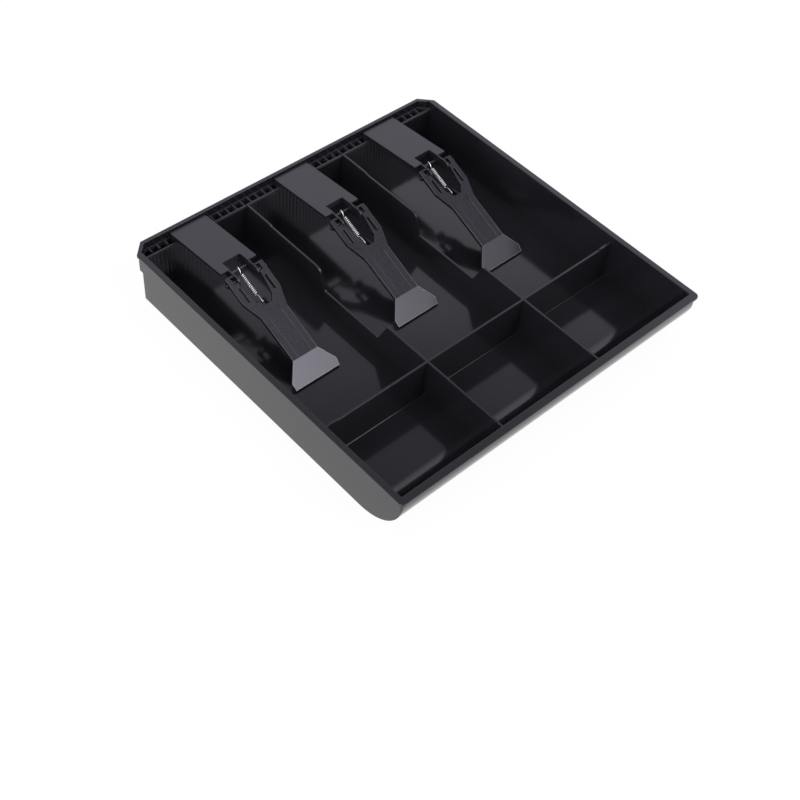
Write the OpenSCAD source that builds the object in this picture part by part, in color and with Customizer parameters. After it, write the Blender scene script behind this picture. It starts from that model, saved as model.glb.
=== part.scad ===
// Cash drawer insert: a moulded tray with three bill bays, three coin cups and three sprung bill clips.
// The origin is on the floor plane at the middle of the tray, +X right, +Y to the back, +Z up.

/* [Tray] */
// Width over the rim
tray_w = 245; // [205:1:420]
// Depth over the rim
tray_d = 245; // [215:1:320]
// Height of the rim
tray_h = 36; // [31:0.5:50]
// Thickness of the floor
floor_t = 2; // [1.5:0.1:3]
// Thickness of the side walls
wall_t = 2.5; // [1.5:0.1:4]
// Thickness of the front wall at the rim
front_wall_t = 3.5; // [2.5:0.1:6]
// How far the rim stands out past the walls
rim_lip = 1.5; // [0.5:0.1:3]
// Thickness of the back wall and of the walls across the back corners
back_wall_t = 2; // [1.5:0.1:4]
// How far the rim stands out past those walls
back_lip = 0.5; // [0.2:0.1:2]
// Height of the rim's outer edge
rim_t = 2; // [1:0.1:4]
// Leg of the cut across each back corner of the rim
corner_cut = 8.5; // [5:0.1:14]
// Radius of each front corner of the rim
front_corner_r = 3; // [1:0.1:8]
// Outer radius of the scooped front
scoop_r = 32; // [14:0.5:34]
// Height at which the back wall steps forward
back_step_h = 22; // [10:0.5:23]
// How far the lower back wall stands forward of the upper one
back_step_d = 3; // [1:0.1:4]

/* [Comb] */
// Spacing of the comb's ribs, one clip position each
comb_pitch = 5.8; // [4.5:0.1:7]
// Thickness of a rib
rib_t = 1; // [0.6:0.1:2]
// Clear depth of the comb, front to back
comb_d = 5.4; // [5:0.1:10]
// Thickness of the wall in front of the comb
comb_wall_t = 1.5; // [1:0.1:3]
// Drop from the rim to the top of that wall
comb_drop = 5.5; // [4:0.1:8]
// Drop from the top of that wall to the ribs
rib_drop = 0.4; // [0.2:0.1:2]

/* [Dividers] */
// Thickness of the dividers and of the cross wall
divider_t = 1.5; // [1:0.1:3]
// Drop from the rim to the dividers at the back
divider_drop = 4.6; // [3:0.1:8]
// Small step down in the top of the back stretch
divider_step = 0.8; // [0.2:0.1:2]
// Length of the stretch behind that step
divider_step_l = 23.6; // [10:0.1:40]
// Length of the whole high stretch at the back
divider_back_l = 71; // [50:0.5:80]
// Length of the high stretch behind the cross wall
divider_front_l = 33.5; // [10:0.5:40]
// Height of the low stretch between them
divider_low_h = 15.6; // [8:0.1:24]
// Length of the slope at the back of the low stretch
back_slope_l = 6; // [3:0.1:10]
// Length of the slope at the front of the low stretch
front_slope_l = 7; // [3:0.1:12]

/* [Coin cups] */
// Clear depth of the coin cups
cup_d = 63; // [45:0.5:75]
// Depth of the cups' rising front
cup_front_d = 26; // [23:0.5:32]
// Radius of the bend from the cups' floor to that front
cup_bend_r = 21.5; // [12:0.5:25]
// Fillet at the foot of the cross wall
seam_r = 0.8; // [0.3:0.1:2]
// Length of the raised stretch at each end of the cross wall
cross_end_l = 10; // [4:0.5:20]
// Rise of those stretches
cross_end_rise = 0.8; // [0.2:0.1:2]

/* [Clip places] */
// Ribs that the left clip sits away from the middle of its bay
left_shift = 0; // [-2:1:2]
// Ribs that the middle clip sits away from the middle of its bay
middle_shift = 0; // [-2:1:2]
// Ribs that the right clip sits away from the middle of its bay
right_shift = -1; // [-2:1:2]

/* [Clip base] */
// Width of the plate
plate_w = 26.8; // [24:0.1:32]
// Length of the plate
plate_l = 51.5; // [40:0.5:60]
// Thickness of the plate
plate_t = 2; // [1.4:0.1:3]
// Drop from the rim to the plate's back edge
plate_drop = 1.7; // [0.2:0.1:3]
// Rise of the plate towards the front, in degrees
plate_tilt = 5; // [1:0.1:8]
// Width of the opening in the plate's front end
opening_w = 13.2; // [10:0.1:15]
// Depth of that opening
opening_l = 7.7; // [5:0.1:14]
// Thickness of the two ears beside the opening
ear_t = 1.2; // [0.8:0.1:1.6]
// Radius of the ears' round noses
nose_r = 3.6; // [2.8:0.1:4.4]
// Distance from the plate's front edge to the hinge
hinge_reach = 7.1; // [6.2:0.1:12]
// Drop from the plate's front edge to the hinge
hinge_drop = 4.05; // [3:0.05:6]
// Radius of the hinge stubs
stub_r = 1.1; // [0.8:0.05:1.3]
// How far the stubs stand out of the arm
stub_out = 1.1; // [0.3:0.1:2]
// Length of the tongues in the comb
tongue_l = 14; // [6:0.5:22]

/* [Clip arm] */
// Width over the fork's legs
arm_w = 28; // [26.5:0.1:34]
// Distance from the hinge to the bend above the foot
arm_l = 59.4; // [50:0.1:70]
// Thickness of the arm
arm_t = 2.3; // [1.8:0.1:3]
// Thickness of the foot at its tip
foot_t = 1.4; // [1:0.1:1.8]
// Height of the arm's top face over the hinge
arm_rise = 2.4; // [2.2:0.05:3]
// Length of the legs in front of the hinge
leg_l = 15; // [13:0.1:18]
// Length of the legs behind the hinge
tail_l = 3.8; // [3:0.1:4.2]
// Length of the taper from the fork to the shaft
neck_l = 13.2; // [8:0.1:18]
// Width of the shaft
shaft_w = 19.4; // [16:0.1:24]
// Width of the shaft at the bend
shaft_end_w = 18.6; // [15:0.1:24]
// Width of the channel along the shaft
channel_w = 9.9; // [6:0.1:12]
// Depth of that channel
channel_d = 0.4; // [0.2:0.05:1.4]
// Distance from the hinge to the end of the fork's opening
fork_l = 21.6; // [20:0.1:24]
// Width of the fork's opening where it starts to close
fork_mid_w = 12.2; // [10:0.1:13]
// Width of the fork's opening at its end
fork_end_w = 6; // [5.6:0.1:9]
// Length of the slot in each leg
slot_l = 10.3; // [6:0.1:11]
// Width of that slot
slot_w = 1.5; // [0.8:0.1:2]
// Width of the foot
foot_w = 33.8; // [26:0.1:38]
// Length of the foot
foot_l = 16.1; // [12:0.1:22]
// Length of the foot's flare
flare_l = 11.3; // [6:0.1:11.5]
// Bend from the shaft to the foot, in degrees
foot_bend = 17.3; // [5:0.1:30]

/* [Clip spring] */
// Diameter of the wire
wire_d = 0.6; // [0.4:0.05:0.65]
// Radius of the coil, to the middle of the wire
coil_r = 1.2; // [1:0.05:1.4]
// Spacing of the turns, at least
coil_pitch = 1.12; // [1.1:0.01:1.6]
// Distance of the spring below the hinge
spring_drop = 3.55; // [3.2:0.05:4.2]
// Distance from the hinge back to the bar in the base
anchor_back = 6.9; // [6:0.1:7.6]
// Distance from the hinge forward to the bar in the arm
anchor_front = 17.4; // [16.5:0.1:18.5]
// Length of the rear hook
rear_hook_l = 3.9; // [3:0.1:5]
// Length of the front hook
front_hook_l = 5.6; // [4:0.1:6.5]
// Radius of the two bars
bar_r = 0.8; // [0.6:0.05:1]

/* [Clearances] */
// Play of a stub in its hub, on the radius
stub_play = 0.05; // [0.02:0.01:0.1]
// Gap between the ears and the arm
ear_gap = 0.3; // [0.2:0.05:0.6]
// Gap round the plate's back edge and the tongues
comb_gap = 0.3; // [0.2:0.05:0.5]
// Gap under the plate where it rests
seat_gap = 0.1; // [0.05:0.01:0.2]
// Gap between the foot and the floor at rest
foot_gap = 0.35; // [0.3:0.05:1]
// Gap between a hook and its bar
hook_gap = 0.3; // [0.2:0.05:0.4]

/* [Hidden] */

$fn = 64;
over = 1;          // how far a cut runs past the face that it opens
bite = 0.4;        // how far a piece that is fused on runs into its neighbour
arc_steps = 8;     // straight pieces in a rounded corner

tray_black = "#17171a";
clip_grey = "#2c2c31";
wire_grey = "#c9c9cc";

// Inside faces and edges of the tray
inner_w = tray_w - 2 * (rim_lip + wall_t);
wall_front = -tray_d / 2 + rim_lip;
wall_back = tray_d / 2 - back_lip;
front_in = wall_front + front_wall_t;
back_in = wall_back - back_wall_t;
comb_back = back_in - comb_d;
comb_front = comb_back - comb_wall_t;
scoop = min(scoop_r, tray_h - rim_t);
back_inset = back_lip + back_wall_t;
inner_cut = max(corner_cut + back_inset * (sqrt(2) - 1) - rim_lip - wall_t, 0);
ledge = back_step_h + floor_t;

// Dividers and cross wall
bay_w = (inner_w - 2 * divider_t) / 3;
bay_step = bay_w + divider_t;
back_top = tray_h - divider_drop;
main_top = back_top - divider_step;
cross_front = front_in + cup_d;
cross_back = cross_front + divider_t;
seam_sink = 0.02;

high_round = 5;
foot_round = 1.5;

// Rising front of the cups, seen from the side as [y, z]: a bend, then a straight bank
bend_turn = 48;
bank_slope = 40;
bend_centre = [front_in + cup_front_d, floor_t + cup_bend_r];
bank_start = bend_centre - cup_bend_r * [sin(bend_turn), cos(bend_turn)];
bank_way = [-cos(bank_slope), sin(bank_slope)];
bank_foot = bank_start - 0.1 * cup_bend_r * bank_way;
bank_end = bank_start + (bank_start.x - front_in + 2 * over) / cos(bank_slope) * bank_way;

// Clip plate, hinge and arm, seen from the side as [y, z]
plate_back = [back_in - comb_gap, tray_h - plate_drop];
plate_front = plate_back + plate_l * [-cos(plate_tilt), sin(plate_tilt)];
hinge = plate_front - [hinge_reach, hinge_drop];
function plate_under(y) =
    plate_back.y + (plate_back.x - y) * tan(plate_tilt) - plate_t / cos(plate_tilt);
comb_top = tray_h - comb_drop;
rib_top = comb_top - rib_drop;
rib_reach = inner_w / 2 - inner_cut - rib_t / 2;
rib_count = floor(rib_reach / comb_pitch);

leg_in = opening_w / 2 + ear_t + ear_gap;
hub_inset = 0.2;
hub_r = arm_rise - hub_inset;
hook_w = 0.48 * (arm_w / 2 - leg_in);
hook_bar = 1.2;
hook_sink = 0.25;
hook_lead = 0.35;
fork_mid = fork_l - 4.2;
nose_clear = nose_r + ear_gap;
slot_start = nose_clear + 2.3;
slot_x = leg_in + 0.28 * (arm_w / 2 - leg_in);
channel_start = fork_l + 3;
channel_end = arm_l - 0.8;
flare_round = 1.5;
tip_trim = 0.4;
arm_corner_r = 1;

// The arm slopes so that the lower edge of its foot just clears the floor
foot_reach = arm_l + foot_l * cos(foot_bend) - foot_t * sin(foot_bend);
foot_fall = arm_rise - foot_l * sin(foot_bend) - foot_t * cos(foot_bend);
arm_slope = atan2(foot_fall, foot_reach)
    + asin((hinge.y - floor_t - foot_gap) / norm([foot_reach, foot_fall]));
// A point of the arm, forward of and above the hinge, as [y, z]
function arm_point(forward, up) =
    hinge + forward * [-cos(arm_slope), -sin(arm_slope)] + up * [-sin(arm_slope), cos(arm_slope)];
base_bar = arm_point(-anchor_back, -spring_drop);
bar_boss = bar_r + 0.9;
cheek_t = 1.2;
cheek_in = fork_end_w / 2 - 1;

// Places of the clips, each on a rib
shifts = [left_shift, middle_shift, right_shift];
clip_x = [for (i = [0:2]) comb_pitch * (round((i - 1) * bay_step / comb_pitch) + shifts[i])];

// One rounded corner of an outline, no larger than its two sides allow
function unit(v) = v / norm(v);
function corner(before, at, after, r) =
    r <= 0 ? [at] :
    let (
        a = unit(before - at),
        b = unit(after - at),
        half = acos(a * b) / 2,
        room = 0.49 * min(norm(before - at), norm(after - at)),
        set_back = min(r / tan(half), room),
        radius = set_back * tan(half),
        centre = at + unit(a + b) * radius / sin(half),
        first = at + a * set_back - centre,
        last = at + b * set_back - centre,
        start = atan2(first.y, first.x),
        turn = (atan2(last.y, last.x) - start + 540) % 360 - 180
    )
    [for (i = [0:arc_steps]) centre + radius * [cos(start + turn * i / arc_steps),
                                                sin(start + turn * i / arc_steps)]];
// An outline of [x, y, radius] corners as plain points
function rounded(marks) =
    let (count = len(marks), flat = [for (m = marks) [m.x, m.y]])
    [for (i = [0:count - 1])
        each corner(flat[(i + count - 1) % count], flat[i], flat[(i + 1) % count], marks[i].z)];
function mirrored(marks) = [for (i = [len(marks) - 1:-1:0]) [-marks[i].x, marks[i].y, marks[i].z]];

// A side view of [y, z] drawn across the tray, in the middle of a given width
module across(width) {
    translate([-width / 2, 0, 0]) rotate([90, 0, 90]) linear_extrude(width) children();
}

// Plan of the tray inside its rim, with cut back corners and round front corners
module plan(side, back, r) {
    edge = tray_w / 2 - side;
    near = tray_d / 2 - side;
    block = 4 * corner_cut;
    out = (block / 2 - back) / sqrt(2) - corner_cut / 2;
    difference() {
        translate([-edge, -near]) square([2 * edge, near + tray_d / 2 - back]);
        for (s = [-1, 1]) {
            translate([s * (tray_w / 2 + out), tray_d / 2 + out]) rotate(45) square(block, center = true);
            difference() {
                translate([s * (edge - r / 2 + over / 2), r / 2 - near - over / 2])
                    square(r + over, center = true);
                translate([s * (edge - r), r - near]) circle(r);
            }
        }
    }
}

// Plan of all that lies behind the lower back wall, whose corners are cut in the same way
module behind(back) {
    edge = tray_w / 2 + over;
    near = tray_d / 2 - back_step_d - corner_cut - back * sqrt(2) - over;
    far = tray_d / 2 - back_step_d - back;
    flat = edge - (far - near);
    polygon([[-edge, near], [-flat, far], [flat, far], [edge, near], [edge, tray_d], [-edge, tray_d]]);
}

// What lies under the scoop, for a scoop of the given radius about the same centre
module under_scoop(r) {
    difference() {
        translate([wall_front - over, -over]) square(scoop + over);
        translate([wall_front + scoop, scoop]) circle(r);
    }
}

module side_profile() {
    difference() {
        translate([wall_front, 0]) square([wall_back + over - wall_front, tray_h]);
        under_scoop(scoop);
    }
}

// What rises at the cups' front: the bend, the bank, then a wall as thick as the floor
module cup_front() {
    difference() {
        polygon([
            [front_in - over, floor_t - over],
            [bend_centre.x, floor_t - over],
            bend_centre,
            bank_foot,
            bank_end
        ]);
        translate(bend_centre) circle(cup_bend_r);
    }
    intersection() {
        translate([wall_front - 2 * over, -2 * over])
            square([bank_start.x - wall_front + 2 * over, scoop + 4 * over]);
        under_scoop(scoop - floor_t);
    }
}

module bay_profile() {
    difference() {
        translate([front_in, floor_t]) square([comb_front - front_in, tray_h]);
        cup_front();
    }
}

// Side view of a rib, grown into the walls and the floor round it
module rib_profile() {
    polygon([
        [comb_back - bite, floor_t - bite],
        [back_in - back_step_d + bite, floor_t - bite],
        [back_in - back_step_d + bite, ledge - bite],
        [back_in + bite, ledge - bite],
        [back_in + bite, rib_top],
        [comb_back - bite, rib_top]
    ]);
}

// Side view of a divider: high at the back, low in the middle, high again to the front wall
module divider_profile() {
    low = floor_t / 2;
    start = front_in - front_wall_t / 2;
    end = comb_front + comb_wall_t / 2;
    rise = cross_back + divider_front_l;
    fall = comb_front - divider_back_l;
    difference() {
        polygon(rounded([
            [start, low, 0],
            [end, low, 0],
            [end, back_top, 0],
            [comb_front - divider_step_l, back_top, foot_round],
            [comb_front - divider_step_l - divider_step, main_top, foot_round],
            [fall, main_top, high_round],
            [fall - back_slope_l, divider_low_h, foot_round],
            [rise + front_slope_l, divider_low_h, foot_round],
            [rise, main_top, foot_round],
            [start, main_top, 0]
        ]));
        under_scoop(scoop - floor_t / 2);
    }
}

// Side view of the cross wall, with a fillet along its foot in the cups
module cross_profile() {
    base = floor_t / 2;
    translate([cross_front, base]) square([divider_t, main_top - base]);
    difference() {
        translate([cross_front - seam_r, base]) square([seam_r + bite, floor_t + seam_r - base]);
        translate([cross_front - seam_r + seam_sink, floor_t + seam_r - seam_sink]) circle(seam_r);
    }
}

module cross_wall() {
    across(inner_w + 2 * bite) cross_profile();
    for (s = [-1, 1])
        translate([s * (inner_w - cross_end_l) / 2, cross_front + divider_t / 2, main_top - over])
            linear_extrude(over + cross_end_rise)
                square([cross_end_l + 2 * bite, divider_t], center = true);
}

module tray() {
    color(tray_black) {
        difference() {
            union() {
                difference() {
                    intersection() {
                        linear_extrude(tray_h) plan(rim_lip, back_lip, max(front_corner_r - rim_lip, 0.5));
                        across(tray_w) side_profile();
                    }
                    translate([0, 0, -over]) linear_extrude(back_step_h + over) behind(back_lip);
                }
                translate([0, 0, tray_h - rim_t]) linear_extrude(rim_t) plan(0, 0, front_corner_r);
            }
            across(inner_w) bay_profile();
            difference() {
                intersection() {
                    across(inner_w) translate([comb_back, floor_t]) square([comb_d + over, tray_h]);
                    linear_extrude(tray_h + over) plan(rim_lip + wall_t, back_inset, 0.5);
                }
                linear_extrude(ledge) behind(back_inset);
            }
            across(inner_w)
                translate([comb_front - over, comb_top])
                    square([comb_wall_t + 2 * over, tray_h - comb_top + over]);
        }
        for (s = [-1, 1]) translate([s * bay_step / 2, 0, 0]) across(divider_t) divider_profile();
        cross_wall();
        for (i = [-rib_count:rib_count])
            translate([i * comb_pitch, 0, 0]) across(rib_t) rib_profile();
    }
}

// The plate lies in its own frame, back edge at the origin, and is then tilted into place
module plate() {
    translate([0, plate_back.x, plate_back.y]) rotate([-plate_tilt, 0, 0])
        translate([-plate_w / 2, -plate_l, -plate_t]) cube([plate_w, plate_l, plate_t]);
}

// Side view of an ear: from the plate down to the spring's bar and forward to the hinge
module ear_profile() {
    rear = plate_front.x + opening_l + 4;
    polygon(rounded([
        [hinge.x - nose_r, hinge.y + nose_r, nose_r],
        [plate_front.x + bite, plate_front.y - bite, 0],
        [rear, plate_under(rear) + plate_t / 2, 0],
        [rear, plate_under(rear) - bite, 0],
        [base_bar.x + bar_boss, base_bar.y - bar_boss, bar_boss],
        [hinge.x - nose_r, hinge.y - nose_r, nose_r]
    ]));
}

module clip_base() {
    tongue_w = comb_pitch - rib_t - 2 * comb_gap;
    tongue_d = comb_d - back_step_d - 2 * comb_gap;
    shoulder_w = plate_w - 2;
    shoulder_back = plate_back.x - 1;
    shoulder_front = comb_back + 2 * comb_gap;
    shoulder_low = rib_top + seat_gap;
    shoulder_top = plate_under(plate_back.x) + plate_t / 2;
    ear_middle = (opening_w + ear_t) / 2;
    opening_front = hinge.x - nose_r - over;
    color(clip_grey) {
        // The ears are one block that the opening parts
        difference() {
            union() {
                plate();
                across(opening_w + 2 * ear_t) ear_profile();
            }
            translate([-opening_w / 2, opening_front, 0])
                cube([opening_w, plate_front.x + opening_l - opening_front, plate_front.y + nose_r + over]);
        }
        for (s = [-1, 1]) {
            translate([s * ear_middle, hinge.x, hinge.y]) rotate([0, s * 90, 0])
                cylinder(r = stub_r, h = arm_w / 2 + stub_out - ear_middle);
            translate([s * 1.5 * comb_pitch - tongue_w / 2, comb_back + comb_gap, rib_top - tongue_l])
                cube([tongue_w, tongue_d, tongue_l + seat_gap + plate_t / 2]);
        }
        // The shoulder rests on the ribs and carries the plate
        translate([-shoulder_w / 2, shoulder_front, shoulder_low])
            cube([shoulder_w, shoulder_back - shoulder_front, shoulder_top - shoulder_low]);
        translate([-ear_middle, base_bar.x, base_bar.y]) rotate([0, 90, 0])
            cylinder(r = bar_r, h = 2 * ear_middle);
    }
}

// The arm lies in its own frame: hinge at the origin, forward along -Y, top face level
module arm_plan() {
    flare_end = arm_l + flare_l * cos(foot_bend);
    tip = arm_l + foot_l * cos(foot_bend) + tip_trim;
    outside = [
        [leg_in, tail_l, 0],
        [arm_w / 2, tail_l, arm_corner_r],
        [arm_w / 2, -leg_l, high_round],
        [shaft_w / 2, -leg_l - neck_l, high_round],
        [shaft_end_w / 2, -arm_l, arm_corner_r],
        [foot_w / 2, -flare_end, flare_round],
        [foot_w / 2, -tip, flare_round]
    ];
    inside = [
        [fork_end_w / 2, -fork_l, arm_corner_r],
        [fork_mid_w / 2, -fork_mid, arm_corner_r],
        [leg_in, -nose_clear, arm_corner_r]
    ];
    polygon(rounded(concat(outside, mirrored(outside), mirrored(inside), inside)));
}

// Side view of the arm, bent down at the foot, which thins to its tip
module arm_profile() {
    tip_top = [-arm_l - foot_l * cos(foot_bend), arm_rise - foot_l * sin(foot_bend)];
    polygon([
        [tail_l + over, arm_rise],
        [-arm_l, arm_rise],
        tip_top,
        tip_top + foot_t * [sin(foot_bend), -cos(foot_bend)],
        [-arm_l + arm_t * tan(foot_bend / 2), arm_rise - arm_t],
        [tail_l + over, arm_rise - arm_t]
    ]);
}

module leg_slot() {
    run = slot_l - slot_w;
    for (y = [0, -run]) translate([0, y]) circle(slot_w / 2);
    translate([-slot_w / 2, -run]) square([slot_w, run]);
}

module channel() {
    end_w = channel_w * shaft_end_w / shaft_w;
    polygon(rounded([
        [-channel_w / 2, -channel_start, arm_corner_r],
        [channel_w / 2, -channel_start, arm_corner_r],
        [end_w / 2, -channel_end, 0],
        [-end_w / 2, -channel_end, 0]
    ]));
}

// Side view of a cheek, as [forward, up], that carries the arm's spring bar
module cheek_profile() {
    top = arm_rise - arm_t + bite;
    polygon([
        [-fork_l - 0.4, top],
        [-fork_l - 5, top],
        [-anchor_front - bar_boss, -spring_drop - bar_boss],
        [-anchor_front, -spring_drop - bar_boss],
        [-anchor_front + bar_boss * cos(45), -spring_drop + bar_boss * sin(45)]
    ]);
    translate([-anchor_front, -spring_drop]) circle(bar_boss);
}

module clip_arm() {
    bore_r = stub_r + stub_play;
    hook_front = bore_r + hook_lead;
    hook_back = tail_l - hook_bar;
    color(clip_grey) translate([0, hinge.x, hinge.y]) rotate([arm_slope, 0, 0]) {
        difference() {
            union() {
                intersection() {
                    translate([0, 0, -foot_l]) linear_extrude(2 * foot_l) arm_plan();
                    across(foot_w + arm_w) arm_profile();
                }
                for (s = [-1, 1])
                    translate([s * leg_in, 0, 0]) rotate([0, s * 90, 0])
                        cylinder(r = hub_r, h = arm_w / 2 - leg_in);
            }
            translate([-arm_w / 2 - over, 0, 0]) rotate([0, 90, 0])
                cylinder(r = bore_r, h = arm_w + 2 * over);
            for (s = [-1, 1]) {
                translate([s * (leg_in + (hook_w - over) / 2), (hook_back - hook_front) / 2, -hook_sink])
                    linear_extrude(arm_rise + hook_sink + over)
                        square([hook_w + over, hook_back + hook_front], center = true);
                translate([s * slot_x, -slot_start, arm_rise - arm_t - over])
                    linear_extrude(arm_t + 2 * over) leg_slot();
            }
            translate([0, 0, arm_rise - channel_d]) linear_extrude(channel_d + over) channel();
        }
        for (s = [-1, 1]) translate([s * (cheek_in + cheek_t / 2), 0, 0]) across(cheek_t) cheek_profile();
        translate([-cheek_in - cheek_t / 2, -anchor_front, -spring_drop]) rotate([0, 90, 0])
            cylinder(r = bar_r, h = 2 * cheek_in + cheek_t);
    }
}

// The spring's wire, as points [x, forward, up from its own line], hook to hook
rings_per_turn = 8;
hook_rings = 8;
link_rings = 6;
wire_sides = 6;
hook_r = bar_r + hook_gap + wire_d / 2;
hook_tail = 1.5 * wire_d;
side_pull = 1;
coil_start = rear_hook_l - anchor_back;
coil_end = anchor_front - front_hook_l;
turns = floor((coil_end - coil_start) / coil_pitch);

function hook_arc(at, from, to) =
    [for (i = [0:hook_rings]) let (a = from + (to - from) * i / hook_rings)
        [0, at + hook_r * cos(a), hook_r * sin(a)]];
function link(a, b, c, d) =
    [for (i = [1:link_rings - 1]) let (t = i / link_rings, s = 1 - t)
        s * s * s * a + 3 * s * s * t * b + 3 * s * t * t * c + t * t * t * d];
rear_top = [0, -anchor_back, hook_r];
front_top = [0, anchor_front, hook_r];
coil_first = [0, coil_start, coil_r];
coil_last = [0, coil_end, coil_r];
wire_path = concat(
    [[0, -anchor_back + hook_tail, -hook_r]],
    hook_arc(-anchor_back, 270, 90),
    link(rear_top, rear_top + [0, 0.6 * rear_hook_l, 0], coil_first + [side_pull, 0, 0], coil_first),
    [for (i = [0:turns * rings_per_turn]) let (a = 90 + 360 * i / rings_per_turn)
        [coil_r * cos(a), coil_start + (coil_end - coil_start) * i / (turns * rings_per_turn),
         coil_r * sin(a)]],
    link(coil_last, coil_last - [side_pull, 0, 0], front_top - [0, 0.6 * front_hook_l, 0], front_top),
    hook_arc(anchor_front, 90, -90),
    [[0, anchor_front - hook_tail, -hook_r]]
);
wire_rings = len(wire_path);
function wire_heading(i) = unit(wire_path[min(i + 1, wire_rings - 1)] - wire_path[max(i - 1, 0)]);
function square_to(v, axis) = unit(v - (v * axis) * axis);
// One direction across the wire at each ring, carried along without twist
wire_across = [for (i = 0, v = square_to([1, 0, 0], wire_heading(0)); i < wire_rings;
                    i = i + 1, v = square_to(v, wire_heading(min(i, wire_rings - 1)))) v];
// Two rings belong to different stretches of wire when they are this many rings apart
ring_apart = 6;
wire_gap = min([for (i = [0:wire_rings - 1 - ring_apart], j = [i + ring_apart:wire_rings - 1])
    norm(wire_path[i] - wire_path[j])]) - wire_d;
echo(spring_turns = turns, least_gap_of_the_wire_to_itself = wire_gap);

module clip_spring() {
    points = [for (i = [0:wire_rings - 1])
        let (p = wire_path[i], v = wire_across[i], w = cross(wire_heading(i), v))
        for (k = [0:wire_sides - 1]) let (a = 360 * k / wire_sides)
            p + wire_d / 2 * (cos(a) * v + sin(a) * w)];
    last = (wire_rings - 1) * wire_sides;
    ends = [for (k = [1:wire_sides - 2]) each [[0, k, k + 1], [last, last + k + 1, last + k]]];
    sides = [for (i = [0:wire_rings - 2], k = [0:wire_sides - 1])
        let (a = i * wire_sides + k, b = i * wire_sides + (k + 1) % wire_sides)
        each [[a, a + wire_sides, b], [b, a + wire_sides, b + wire_sides]]];
    color(wire_grey) translate([0, hinge.x, hinge.y]) rotate([arm_slope, 0, 0])
        polyhedron([for (p = points) [p.x, -p.y, p.z - spring_drop]], concat(ends, sides), convexity = 10);
}

module at_clip(i) {
    translate([clip_x[i], 0, 0]) children();
}

tray();
at_clip(0) clip_base();  // left_clip_base
at_clip(1) clip_base();  // middle_clip_base
at_clip(2) clip_base();  // right_clip_base
at_clip(0) clip_arm();  // left_clip_arm
at_clip(1) clip_arm();  // middle_clip_arm
at_clip(2) clip_arm();  // right_clip_arm
at_clip(0) clip_spring();  // left_clip_spring
at_clip(1) clip_spring();  // middle_clip_spring
at_clip(2) clip_spring();  // right_clip_spring
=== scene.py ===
"""Cash drawer insert: moulded tray, three sprung bill clips, and the studio round them."""
import math

import bmesh
import bpy
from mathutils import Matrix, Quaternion, Vector
from mathutils.bvhtree import BVHTree


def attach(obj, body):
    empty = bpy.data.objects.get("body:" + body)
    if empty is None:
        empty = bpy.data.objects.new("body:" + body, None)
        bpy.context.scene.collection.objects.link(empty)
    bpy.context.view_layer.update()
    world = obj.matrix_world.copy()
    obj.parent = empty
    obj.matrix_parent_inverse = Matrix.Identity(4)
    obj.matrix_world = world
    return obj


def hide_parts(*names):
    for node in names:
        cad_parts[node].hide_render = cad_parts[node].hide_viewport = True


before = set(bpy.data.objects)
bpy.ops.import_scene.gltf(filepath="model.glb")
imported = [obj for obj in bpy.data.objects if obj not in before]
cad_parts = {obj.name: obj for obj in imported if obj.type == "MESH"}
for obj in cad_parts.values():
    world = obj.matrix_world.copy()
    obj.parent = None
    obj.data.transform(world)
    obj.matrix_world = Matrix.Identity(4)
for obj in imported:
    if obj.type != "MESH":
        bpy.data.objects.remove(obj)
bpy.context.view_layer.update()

MM = 0.001
SIDES = ("left", "middle", "right")

# Places and sizes of the CAD model, in millimetres, and the arms' slope in degrees
CLIP_X = (-81.2, 0.0, 75.4)
HINGE_Y = 61.29597
HINGE_Z = 34.73852
ARM_SLOPE = 22.92070
INNER_HALF = 118.5
BAY_STEP = 79.5
FLOOR_TOP = 2.0
COMB_FRONT = 113.1
COMB_TOP = 30.5

# Bounds of the comb's ribs and pockets, in millimetres, a little beyond their faces
COMB_HALF = 118.6
COMB_NEAR = 112.8
POCKET_NEAR = 114.5
COMB_FAR = 120.3
POCKET_LOW = 2.2
RIB_LOW = 29.4
COMB_HIGH = 31.0

# The arms at rest, in millimetres: a top lies just above its start + its rise * y
FOOT_FRONT = -6.25
FOOT_BACK = 5.9
SHAFT_BACK = 34.0
ARM_BACK = 66.0
SHAFT_START = 11.17
SHAFT_RISE = 0.4229
FOOT_START = 8.73
FOOT_RISE = 0.845

# Half widths of the arms: the shaft's, the foot's, and the foot's where its flanks slope
SHAFT_HALF = 9.216
SHAFT_FLARE = 0.01406
FOOT_HALF = 16.63
FLANK_START = 14.28
FLANK_RISE = 0.88

# Painted highlights along the arms' edges: shares of the shaft's half width, and the width along the foot in
# millimetres
SHAFT_HIGHLIGHT = 0.95
CHANNEL_PLACE = 0.51
CHANNEL_HIGHLIGHT = 0.022
FOOT_HIGHLIGHT = 0.55

# Roundings of the mouldings: lengths in millimetres, leans between faces in degrees
TRAY_EDGE = 0.35
CLIP_EDGE = 0.3
TOLERANCE = 0.002
SHORT_EDGE = 0.1
LEAST_ROOM = 0.25
ROOM_SHARE = 0.22
FLAT_LEAN = 0.4
SHARP_LEAN = 35
FORM_LEAN = 20
CURVE_LEAN = 45
ROUNDING_LEAN = 60
# Material index that marks the faces of a rounding until the normals are set
ROUNDING = 1
# Lengths in metres that stand for nothing, and for more than any face
NEAR = 1e-7
FAR = 1.0

# Flutes on the comb wall, in millimetres
FLUTE_PITCH = 2.9
FLUTE_R = 1.2
FLUTE_DEPTH = 0.08
FLUTE_PROUD = 0.04
FLUTE_CLEAR = 1.9
FLUTE_SUNK = 0.3
FLUTE_STOP = 0.7
FLUTE_SIDES = 20

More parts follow.
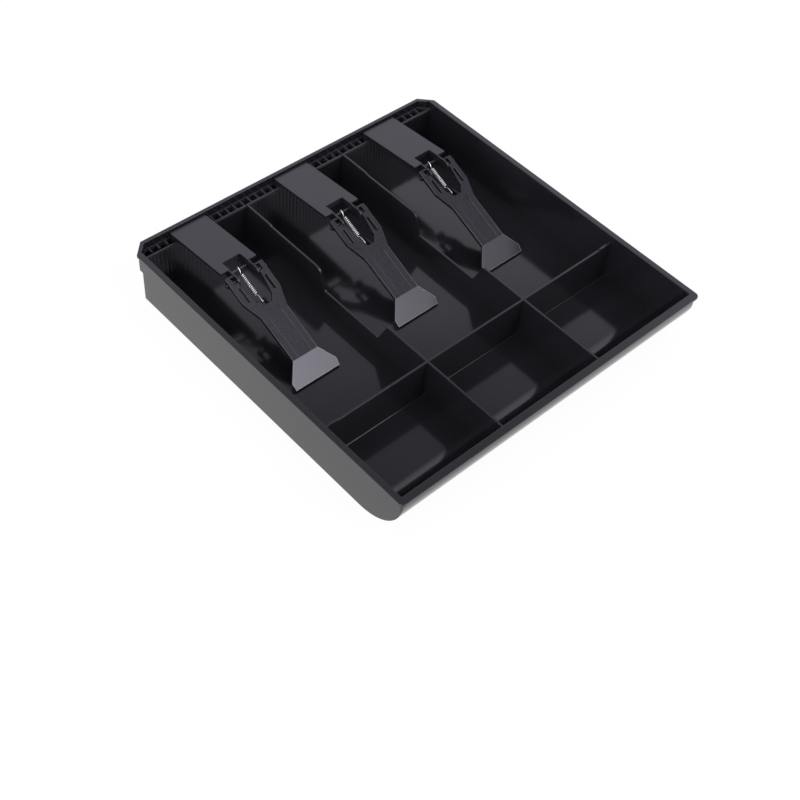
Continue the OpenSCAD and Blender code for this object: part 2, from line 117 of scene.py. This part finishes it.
# Springs, in millimetres: places are forward of the hinge along the arm
SPRING_DROP = 3.55
WIRE_R = 0.3
WIRE_SIDES = 10
COIL_R = 1.2
COIL_TURNS = 13
COIL_START = -3.0
COIL_END = 11.8
HOOK_R = 1.4
BACK_BAR = -6.9
FRONT_BAR = 17.4
TAIL = 0.9
LINK_LEAD = 0.3
BACK_LINK = 0.6
FRONT_LINK = 1.1
TURN_STEPS = 24
HOOK_STEPS = 16
LINK_STEPS = 12

# Light of the room: its level, how far that falls higher up, and the sines of the elevations where it falls
ROOM_LEVEL = 1.15
UPPER_FALL = 0.72
UPPER_FROM = 0.63
UPPER_TO = 0.79
TOP_FALL = 0.16
TOP_FROM = 0.80
TOP_TO = 1.0
ROOM_TINT = (1.0, 0.975, 1.11)

# Studio floor: half its side in metres, and how much of it is plain white where it is seen
FLOOR_HALF = 30.0
FLOOR_WHITE = 0.95

# Soft panels of light: azimuth from the front to the right, elevation, inner and outer radius, level
PANELS = (
    (20.0, 40.0, 5.0, 18.5, 6.1),
    (60.0, 80.0, 8.0, 24.0, 1.2),
    (-85.0, 26.0, 3.0, 18.0, 6.0),
    (-76.0, 47.0, 3.0, 16.0, 5.0),
)


def add_object(name, data):
    """Puts a new object in the scene, at the origin."""
    made = bpy.data.objects.new(name, data)
    bpy.context.scene.collection.objects.link(made)
    return made


# Shader maths
class Wire:
    """A shader socket that takes plain arithmetic."""

    def __init__(self, tree, socket):
        self.tree = tree
        self.socket = socket

    def reckon(self, operation, *values):
        node = self.tree.nodes.new("ShaderNodeMath")
        node.operation = operation
        for slot, value in zip(node.inputs, values):
            if isinstance(value, Wire):
                self.tree.links.new(value.socket, slot)
            else:
                slot.default_value = value
        return Wire(self.tree, node.outputs[0])

    def __add__(self, other):
        return self.reckon("ADD", self, other)

    def __radd__(self, other):
        return self.reckon("ADD", other, self)

    def __sub__(self, other):
        return self.reckon("SUBTRACT", self, other)

    def __rsub__(self, other):
        return self.reckon("SUBTRACT", other, self)

    def __mul__(self, other):
        return self.reckon("MULTIPLY", self, other)

    def __rmul__(self, other):
        return self.reckon("MULTIPLY", other, self)

    def __truediv__(self, other):
        return self.reckon("DIVIDE", self, other)

    def __abs__(self):
        return self.reckon("ABSOLUTE", self)

    def __lt__(self, other):
        return self.reckon("LESS_THAN", self, other)

    def __gt__(self, other):
        return self.reckon("GREATER_THAN", self, other)

    def least(self, other):
        return self.reckon("MINIMUM", self, other)

    def most(self, other):
        return self.reckon("MAXIMUM", self, other)

    def step(self, low, high):
        """0 below low, 1 above high, smooth between."""
        node = self.tree.nodes.new("ShaderNodeMapRange")
        node.interpolation_type = "SMOOTHSTEP"
        self.tree.links.new(self.socket, node.inputs["Value"])
        node.inputs["From Min"].default_value = low
        node.inputs["From Max"].default_value = high
        return Wire(self.tree, node.outputs["Result"])


class Graph:
    """A node tree that nodes are added to."""

    def __init__(self, tree):
        self.tree = tree

    def node(self, kind, settings=None, sockets=None, output=0):
        """Adds a node: settings first, then its sockets' values or links; returns one output."""
        made = self.tree.nodes.new(kind)
        for name, value in (settings or {}).items():
            setattr(made, name, value)
        for name, value in (sockets or {}).items():
            if isinstance(value, Wire):
                self.tree.links.new(value.socket, made.inputs[name])
            else:
                made.inputs[name].default_value = value
        return Wire(self.tree, made.outputs[output]) if made.outputs else made


class Finish(Graph):
    """A material, or the world, and its node tree."""

    def __init__(self, owner):
        owner.use_nodes = True
        super().__init__(owner.node_tree)
        self.owner = owner
        self.tree.nodes.clear()

    def place(self):
        """The piece's own coordinates in metres."""
        return self.node("ShaderNodeTexCoord", output="Object")

    def split(self, vector):
        """The x, y and z of a vector."""
        return [self.node("ShaderNodeSeparateXYZ", None, {0: vector}, axis) for axis in range(3)]

    def noise(self, vector, scale, detail):
        sockets = {"Vector": vector, "Scale": scale, "Detail": detail}
        return self.node("ShaderNodeTexNoise", None, sockets, "Fac")

    def blend(self, factor, first, second):
        """A colour between two others."""
        settings = {"data_type": "RGBA"}
        return self.node("ShaderNodeMix", settings, {0: factor, 6: first, 7: second}, 2)

    def surface(self, sockets):
        shader = self.node("ShaderNodeBsdfPrincipled", None, sockets, "BSDF")
        self.node("ShaderNodeOutputMaterial", None, {"Surface": shader})
        return self.owner

    def bump(self, height, strength, distance):
        sockets = {"Height": height, "Strength": strength, "Distance": distance}
        return self.node("ShaderNodeBump", None, sockets, "Normal")


class Shaper(Graph):
    """A geometry tree with named sizes, run once on a piece and then made a plain mesh."""

    def __init__(self, name, sizes):
        super().__init__(bpy.data.node_groups.new(name, "GeometryNodeTree"))
        self.tree.is_modifier = True
        face = self.tree.interface
        face.new_socket(name="Geometry", in_out="INPUT", socket_type="NodeSocketGeometry")
        self.names = {}
        for label, kind in sizes.items():
            self.names[label] = face.new_socket(name=label, in_out="INPUT", socket_type=kind).identifier
        face.new_socket(name="Geometry", in_out="OUTPUT", socket_type="NodeSocketGeometry")
        self.given = self.tree.nodes.new("NodeGroupInput")

    def size(self, label):
        return Wire(self.tree, self.given.outputs[label])

    def close(self, shape, finish):
        """Ends the tree: real geometry with its material."""
        self.finish = finish
        solid = self.node("GeometryNodeRealizeInstances", None, {"Geometry": shape})
        dressed = self.node("GeometryNodeSetMaterial", None, {"Geometry": solid, "Material": finish})
        self.node("NodeGroupOutput", None, {"Geometry": dressed})

    def run(self, name, mesh, values):
        """Runs the tree on a mesh and returns a plain piece of that name."""
        maker = add_object(name + "_maker", mesh)
        modifier = maker.modifiers.new("shape", "NODES")
        modifier.node_group = self.tree
        for label, value in values.items():
            modifier[self.names[label]] = value
        graph = bpy.context.evaluated_depsgraph_get()
        made = bpy.data.meshes.new_from_object(maker.evaluated_get(graph))
        made.name = name
        made.materials.clear()
        made.materials.append(self.finish)
        made.polygons.foreach_set("material_index", [0] * len(made.polygons))
        soften(made, CURVE_LEAN)
        bpy.data.objects.remove(maker)
        return add_object(name, made)


# Finishes
def tray_moulding():
    """Black moulded plastic, polished inside, with a slow drift in its gloss, a duller comb, painted light in
    the comb's pockets and a painted highlight on its rib tops.
    """
    finish = Finish(bpy.data.materials.new("tray_moulding"))
    vector = finish.place()
    x, y, z = finish.split(vector)
    drift = finish.noise(vector, scale=35.0, detail=3.0)
    grain = finish.noise(vector, scale=1400.0, detail=2.0)
    inside = (abs(x) < COMB_HALF * MM) * (y < COMB_FAR * MM)
    pockets = inside * (y > POCKET_NEAR * MM) * (z > POCKET_LOW * MM) * (z < RIB_LOW * MM)
    ribs = inside * (y > COMB_NEAR * MM) * (z > RIB_LOW * MM) * (z < COMB_HIGH * MM)
    clean = finish.blend(drift, (0.0082, 0.0083, 0.0094, 1), (0.0104, 0.0106, 0.0120, 1))
    # Painted light: the comb's pockets get a lighter colour that stands in for light reaching down into them
    pocket_painted_light = finish.blend(pockets, clean, (0.018, 0.018, 0.020, 1))
    # Painted highlight: the comb's rib tops get a lighter colour where light catches them; their extra
    # roughness is the real duller finish
    colour = finish.blend(ribs, pocket_painted_light, (0.026, 0.026, 0.029, 1))
    return finish.surface({
        "Base Color": colour,
        "Roughness": 0.09 + 0.04 * drift + 0.02 * grain + 0.35 * ribs,
    })


def painted_edge_highlights(x, y, z):
    """1 where highlights are painted along the edges of the arms' shafts, channels and feet, 0 elsewhere."""
    gaps = [abs(x - middle * MM) for middle in CLIP_X]
    out = gaps[0].least(gaps[1]).least(gaps[2])
    on_shaft = (z - SHAFT_RISE * y > SHAFT_START * MM) * (y > FOOT_BACK * MM) * (y < SHAFT_BACK * MM)
    share = out / (SHAFT_HALF * MM + SHAFT_FLARE * y)
    lines = (share > SHAFT_HIGHLIGHT).most(abs(share - CHANNEL_PLACE) < CHANNEL_HIGHLIGHT)
    on_foot = (z - FOOT_RISE * y > FOOT_START * MM) * (y < FOOT_BACK * MM)
    flank = (FLANK_START * MM - FLANK_RISE * y).least(FOOT_HALF * MM)
    brim = (out > flank - FOOT_HIGHLIGHT * MM).most(y < FOOT_FRONT * MM)
    return (on_shaft * lines).most(on_foot * brim)


def clip_moulding():
    """Black plastic with the texture of a spark-cut mould, coarser on the arms, with painted highlights along
    their edges.
    """
    finish = Finish(bpy.data.materials.new("clip_moulding"))
    vector = finish.place()
    x, y, z = finish.split(vector)
    drift = finish.noise(vector, scale=60.0, detail=3.0)
    grain = finish.noise(vector, scale=2200.0, detail=2.0)
    mottle = finish.noise(vector, scale=900.0, detail=3.0).step(0.35, 0.65)
    fine = finish.blend(drift, (0.0080, 0.0080, 0.0100, 1), (0.0100, 0.0100, 0.0125, 1))
    coarse = finish.blend(mottle, (0.0020, 0.0020, 0.0032, 1), (0.0120, 0.0122, 0.0150, 1))
    behind_foot = y > FOOT_BACK * MM
    plain = finish.blend(behind_foot * (y < ARM_BACK * MM), fine, coarse)
    # Painted highlights: light lines along the edges of the arms' shafts, channels and feet stand in for glints
    # of light on them
    edge_highlight = painted_edge_highlights(x, y, z) * (0.55 + 0.45 * drift)
    return finish.surface({
        "Base Color": finish.blend(edge_highlight, plain, (0.075, 0.075, 0.082, 1)),
        "Roughness": 0.185 + 0.085 * behind_foot + 0.05 * grain,
        "Normal": finish.bump(grain, 0.1, 0.2 * MM),
    })


def spring_wire():
    """Bright drawn steel with faint draw marks."""
    finish = Finish(bpy.data.materials.new("spring_wire"))
    marks = finish.noise(finish.place(), scale=3000.0, detail=3.0)
    return finish.surface({
        "Base Color": finish.blend(marks, (0.84, 0.80, 0.76, 1), (0.95, 0.92, 0.88, 1)),
        "Roughness": 0.22 + 0.14 * marks,
        "Metallic": 1.0,
    })


# Mouldings: the CAD forms with their outer edges rounded
def room_beside(face, edge):
    """How far the face reaches, straight in from the middle of one of its edges."""
    loop = next(corner for corner in face.loops if corner.edge == edge)
    start = loop.vert.co
    along = (loop.link_loop_next.vert.co - start).normalized()
    inward = face.normal.cross(along)
    middle = (start + loop.link_loop_next.vert.co) / 2
    nearest = FAR
    for other in face.edges:
        if other == edge:
            continue
        first, last = [vert.co - middle for vert in other.verts]
        before, after = first.dot(along), last.dot(along)
        if (before > 0) == (after > 0):
            continue
        reach = first.lerp(last, before / (before - after)).dot(inward)
        if NEAR < reach < nearest:
            nearest = reach
    return nearest


def blended(faces, normal, limit):
    """The mean normal of the faces that lean from a normal by less than the limit, in degrees."""
    total = Vector((0, 0, 0))
    for face in faces:
        if face.normal.angle(normal, math.pi) < math.radians(limit):
            total += face.normal * face.area
    return total.normalized() if total.length > 0 else normal


def soften(mesh, lean):
    """Sets the corner normals: flat on flat faces, smooth over roundings and curves of less than that lean."""
    plain = {}
    rounded = {}
    for face in mesh.polygons:
        owners = rounded if face.material_index == ROUNDING else plain
        for vert in face.vertices:
            owners.setdefault(vert, []).append(face)
    normals = [Vector((0, 0, 1))] * len(mesh.loops)
    for face in mesh.polygons:
        for index, vert in zip(face.loop_indices, face.vertices):
            if face.material_index != ROUNDING:
                normals[index] = blended(plain[vert], face.normal, lean)
            elif vert in plain:
                nearest = min(plain[vert], key=lambda other: other.normal.angle(face.normal, math.pi))
                normals[index] = blended(plain[vert], nearest.normal, lean)
            else:
                normals[index] = blended(rounded[vert], face.normal, ROUNDING_LEAN)
    mesh.polygons.foreach_set("use_smooth", [True] * len(mesh.polygons))
    mesh.edges.foreach_set("use_edge_sharp", [True] * len(mesh.edges))
    mesh.normals_split_custom_set(normals)


def build_moulding(node, body, finish, width):
    """A copy of a CAD node with its sharp outer edges rounded, narrower where a face is narrow."""
    form = bmesh.new()
    form.from_mesh(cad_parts[node].data)
    bmesh.ops.remove_doubles(form, verts=form.verts, dist=TOLERANCE * MM)
    bmesh.ops.dissolve_limit(form, angle_limit=math.radians(FLAT_LEAN), verts=form.verts, edges=form.edges)
    form.normal_update()
    weights = form.edges.layers.float.new("bevel_weight_edge")
    # Edges that meet very short ones stay sharp, because a bevel throws spikes there
    crowded = {vert for edge in form.edges if edge.calc_length() < SHORT_EDGE * MM for vert in edge.verts}
    for edge in form.edges:
        if not edge.is_convex or edge.calc_face_angle(0.0) < math.radians(SHARP_LEAN):
            continue
        if not crowded.isdisjoint(edge.verts):
            continue
        room = min(room_beside(face, edge) for face in edge.link_faces)
        if room > LEAST_ROOM * MM:
            edge[weights] = min(1.0, ROOM_SHARE * room / width)
    skin = BVHTree.FromBMesh(form)
    mesh = bpy.data.meshes.new(node + "_moulding")
    form.to_mesh(mesh)
    form.free()
    for index in range(ROUNDING + 1):
        mesh.materials.append(finish)
    maker = add_object(node + "_maker", mesh)
    bevel = maker.modifiers.new("edges", "BEVEL")
    bevel.limit_method = "WEIGHT"
    bevel.width = width
    bevel.segments = 2
    bevel.use_clamp_overlap = False
    bevel.material = ROUNDING
    made = bpy.data.meshes.new_from_object(maker.evaluated_get(bpy.context.evaluated_depsgraph_get()))
    bpy.data.objects.remove(maker)
    # A rounding only takes material away, so no point may lie outside the CAD form
    for vert in made.vertices:
        nearest, normal = skin.find_nearest(vert.co)[:2]
        if (vert.co - nearest).dot(normal) > TOLERANCE * MM:
            vert.co = nearest
    soften(made, FORM_LEAN)
    made.polygons.foreach_set("material_index", [0] * len(made.polygons))
    made.materials.clear()
    made.materials.append(finish)
    piece = add_object(node + "_moulding", made)
    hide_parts(node)
    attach(piece, body)


# Flutes down the front of the comb wall
def build_flutes(finish):
    """A row of shallow half-round bars, left out beside the dividers and side walls."""
    sizes = {"Height": "NodeSocketFloat", "Half Width": "NodeSocketFloat", "Half Depth": "NodeSocketFloat"}
    shaper = Shaper("flutes", sizes)
    bar = shaper.node("GeometryNodeMeshCylinder", None,
                      {"Vertices": FLUTE_SIDES, "Depth": shaper.size("Height")})
    flat = shaper.node("ShaderNodeCombineXYZ", None,
                       {"X": shaper.size("Half Width"), "Y": shaper.size("Half Depth"), "Z": 1.0})
    lift = shaper.node("ShaderNodeCombineXYZ", None, {"Z": 0.5 * shaper.size("Height")})
    flute = shaper.node("GeometryNodeTransform", None, {"Geometry": bar, "Translation": lift, "Scale": flat})
    rows = shaper.node("GeometryNodeInstanceOnPoints", None,
                       {"Points": shaper.size("Geometry"), "Instance": flute})
    shaper.close(rows, finish)
    y = COMB_FRONT + FLUTE_DEPTH - FLUTE_PROUD
    foot = FLOOR_TOP - FLUTE_SUNK
    top = COMB_TOP - FLUTE_STOP
    reach = int(INNER_HALF / FLUTE_PITCH)
    places = []
    for step in range(-reach, reach + 1):
        x = step * FLUTE_PITCH
        clear = min(abs(x + BAY_STEP / 2), abs(x - BAY_STEP / 2), INNER_HALF - abs(x))
        if clear > FLUTE_CLEAR:
            places.append((x * MM, y * MM, foot * MM))
    mesh = bpy.data.meshes.new("flute_feet")
    mesh.from_pydata(places, [], [])
    values = {
        "Height": (top - foot) * MM,
        "Half Width": FLUTE_R * MM,
        "Half Depth": FLUTE_DEPTH * MM,
    }
    piece = shaper.run("comb_flutes", mesh, values)
    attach(piece, "tray")


# Springs
def arc(middle, radius, start, end, count):
    """Points of a hook, turned about a bar, as (across, forward, up)."""
    points = []
    for i in range(count + 1):
        a = math.radians(start + (end - start) * i / count)
        points.append((0.0, middle + radius * math.cos(a), radius * math.sin(a)))
    return points


def bend(a, b, c, d, count):
    """Points of a smooth link between two others, ends left out."""
    points = []
    for i in range(1, count):
        t = i / count
        u = 1 - t
        share = (u ** 3, 3 * u * u * t, 3 * u * t * t, t ** 3)
        points.append(tuple(sum(k * p[axis] for k, p in zip(share, (a, b, c, d))) for axis in range(3)))
    return points


def spring_path(middle_x):
    """Centre line of a spring from its back tail to its front tail, in metres."""
    points = [(0.0, BACK_BAR + TAIL, -HOOK_R)]
    points += arc(BACK_BAR, HOOK_R, 270, 90, HOOK_STEPS)
    # The links leave the coil at its bottom and rise to the tops of the hooks
    points += bend((0, BACK_BAR, HOOK_R), (0, COIL_START - BACK_LINK, HOOK_R),
                   (-COIL_R, COIL_START - LINK_LEAD, -COIL_R), (0, COIL_START, -COIL_R), LINK_STEPS)
    steps = COIL_TURNS * TURN_STEPS
    for i in range(steps + 1):
        a = math.radians(270 + 360 * COIL_TURNS * i / steps)
        forward = COIL_START + (COIL_END - COIL_START) * i / steps
        points.append((COIL_R * math.cos(a), forward, COIL_R * math.sin(a)))
    points += bend((0, COIL_END, -COIL_R), (COIL_R, COIL_END + LINK_LEAD, -COIL_R),
                   (0, COIL_END + FRONT_LINK, HOOK_R), (0, FRONT_BAR, HOOK_R), LINK_STEPS)
    points += arc(FRONT_BAR, HOOK_R, 90, -90, HOOK_STEPS)
    points.append((0.0, FRONT_BAR - TAIL, -HOOK_R))
    slope = math.radians(ARM_SLOPE)
    c, s = math.cos(slope), math.sin(slope)
    placed = []
    for across, forward, up in points:
        y = HINGE_Y - c * forward - s * (up - SPRING_DROP)
        z = HINGE_Z - s * forward + c * (up - SPRING_DROP)
        placed.append(((middle_x + across) * MM, y * MM, z * MM))
    return placed


def build_springs(finish):
    """Three springs of round wire that stand for the CAD's."""
    shaper = Shaper("wire", {"Radius": "NodeSocketFloat", "Sides": "NodeSocketInt"})
    path = shaper.node("GeometryNodeMeshToCurve", None, {"Mesh": shaper.size("Geometry")})
    ring = shaper.node("GeometryNodeCurvePrimitiveCircle", None,
                       {"Resolution": shaper.size("Sides"), "Radius": shaper.size("Radius")})
    tube = shaper.node("GeometryNodeCurveToMesh", None,
                       {"Curve": path, "Profile Curve": ring, "Fill Caps": True})
    shaper.close(tube, finish)
    for side, middle_x in zip(SIDES, CLIP_X):
        points = spring_path(middle_x)
        mesh = bpy.data.meshes.new(side + "_spring_path")
        mesh.from_pydata(points, [(i, i + 1) for i in range(len(points) - 1)], [])
        piece = shaper.run(side + "_spring_coil", mesh, {"Radius": WIRE_R * MM, "Sides": WIRE_SIDES})
        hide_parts(side + "_clip_spring")
        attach(piece, side + "_spring")


# Studio
def build_floor():
    """A sheet of white paper under the part."""
    size = FLOOR_HALF
    mesh = bpy.data.meshes.new("studio_floor")
    corners = [(-size, -size, 0), (size, -size, 0), (size, size, 0), (-size, size, 0)]
    mesh.from_pydata(corners, [], [(0, 1, 2, 3)])
    floor = add_object("studio_floor", mesh)
    finish = Finish(bpy.data.materials.new("studio_floor"))
    camera_ray = finish.node("ShaderNodeLightPath", output="Is Camera Ray")
    glossy_ray = finish.node("ShaderNodeLightPath", output="Is Glossy Ray")
    through_ray = finish.node("ShaderNodeLightPath", output="Is Transmission Ray")
    # Seen or mirrored, the floor is nearly plain white; it lights the part and takes its shadow as paper does
    seen = (camera_ray + glossy_ray + through_ray) * FLOOR_WHITE
    paper = finish.node("ShaderNodeBsdfDiffuse", None, {"Color": (0.9, 0.9, 0.9, 1)})
    white = finish.node("ShaderNodeEmission", None, {"Color": (1, 1, 1, 1), "Strength": 1.0})
    mixed = finish.node("ShaderNodeMixShader", None, {0: seen, 1: paper, 2: white})
    finish.node("ShaderNodeOutputMaterial", None, {"Surface": mixed})
    floor.data.materials.append(finish.owner)


def towards(azimuth, elevation):
    """A direction, with the azimuth in degrees from the front towards the right."""
    a = math.radians(azimuth)
    e = math.radians(elevation)
    return Vector((math.sin(a) * math.cos(e), -math.cos(a) * math.cos(e), math.sin(e)))


def build_world():
    """A pale room that darkens overhead, with soft glowing panels."""
    world = bpy.data.worlds.new("studio")
    bpy.context.scene.world = world
    finish = Finish(world)
    direction = finish.node("ShaderNodeTexCoord", output="Generated")
    height = finish.node("ShaderNodeSeparateXYZ", None, {0: direction}, 2)
    level = ROOM_LEVEL - UPPER_FALL * height.step(UPPER_FROM, UPPER_TO)
    level = level - TOP_FALL * height.step(TOP_FROM, TOP_TO)
    for azimuth, elevation, inner, outer, amount in PANELS:
        sockets = {0: direction, 1: towards(azimuth, elevation)}
        facing = finish.node("ShaderNodeVectorMath", {"operation": "DOT_PRODUCT"}, sockets, "Value")
        edge = math.cos(math.radians(outer))
        core = math.cos(math.radians(inner))
        level = level + amount * facing.step(edge, core)
    sockets = {0: ROOM_TINT, "Scale": level}
    colour = finish.node("ShaderNodeVectorMath", {"operation": "SCALE"}, sockets)
    sky = finish.node("ShaderNodeBackground", None, {"Color": colour, "Strength": 1.0})
    finish.node("ShaderNodeOutputWorld", None, {"Surface": sky})


def build_camera():
    """The photograph's own view, solved on marks of the rim."""
    camera = bpy.data.cameras.new("camera")
    camera.sensor_width = 36.0
    camera.lens = 59.694
    camera.clip_start = 0.01
    camera.clip_end = 200.0
    holder = add_object("camera", camera)
    holder.location = (-0.419642, -0.388204, 0.602134)
    holder.rotation_mode = "QUATERNION"
    holder.rotation_quaternion = Quaternion((0.8814605, 0.3034386, -0.1527640, -0.3280480))
    bpy.context.scene.camera = holder


build_camera()
build_floor()
build_world()

tray_finish = tray_moulding()
clip_finish = clip_moulding()
build_moulding("tray", "tray", tray_finish, TRAY_EDGE * MM)
for side in SIDES:
    build_moulding(side + "_clip_base", "tray", clip_finish, CLIP_EDGE * MM)
    build_moulding(side + "_clip_arm", side + "_arm", clip_finish, CLIP_EDGE * MM)
build_flutes(tray_finish)
build_springs(spring_wire())

bpy.context.scene.view_settings.view_transform = "Standard"
